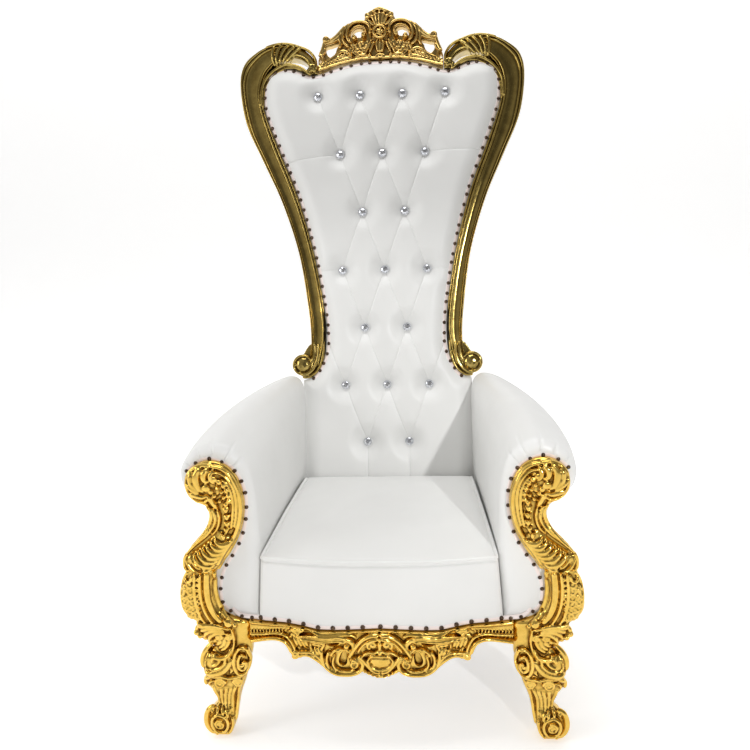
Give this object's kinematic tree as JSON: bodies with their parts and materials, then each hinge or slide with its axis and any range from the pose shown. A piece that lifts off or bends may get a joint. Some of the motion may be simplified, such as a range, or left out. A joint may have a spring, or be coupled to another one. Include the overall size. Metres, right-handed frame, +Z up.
{
  "type": "throne",
  "caption": "High-backed throne: gilt carved frame with pierced crest and apron, white tufted back with crystal buttons, rolled arms.",
  "frame": {"origin": "on the floor, under the middle of the chair's bounding box", "axes": "+Z up, the chair faces -Y, +X is on the right of someone who looks at its front"},
  "size_m": [0.9594, 0.9202, 1.8009],
  "materials": {
    "gilt": "carved wood with polished gold leaf, darker in the recesses",
    "white_leather": "smooth white faux leather, satin",
    "crystal": "faceted, silver-backed",
    "dark_cloth": "matte dust cloth under the seat"
  },
  "bodies": {
    "root": {"front_leg_left": "gilt", "front_leg_right": "gilt", "arm_front_left": "gilt", "arm_front_right": "gilt", "front_apron": "gilt", "side_rail_left": "gilt", "side_rail_right": "gilt", "rear_rail": "gilt", "rear_leg_left": "gilt", "rear_leg_right": "gilt", "back_stile_left": "gilt", "back_stile_right": "gilt", "crest": "gilt", "back_pad": "white_leather", "back_shell": "white_leather", "seat": "white_leather", "arm_left": "white_leather", "arm_right": "white_leather", "seat_frame": "dark_cloth", "button_01": "crystal", "button_02": "crystal", "button_03": "crystal", "button_04": "crystal", "button_05": "crystal", "button_06": "crystal", "button_07": "crystal", "button_08": "crystal", "button_09": "crystal", "button_10": "crystal", "button_11": "crystal", "button_12": "crystal", "button_13": "crystal", "button_14": "crystal", "button_15": "crystal", "button_16": "crystal", "button_17": "crystal", "button_18": "crystal", "button_19": "crystal"}
  },
  "joints": []
}
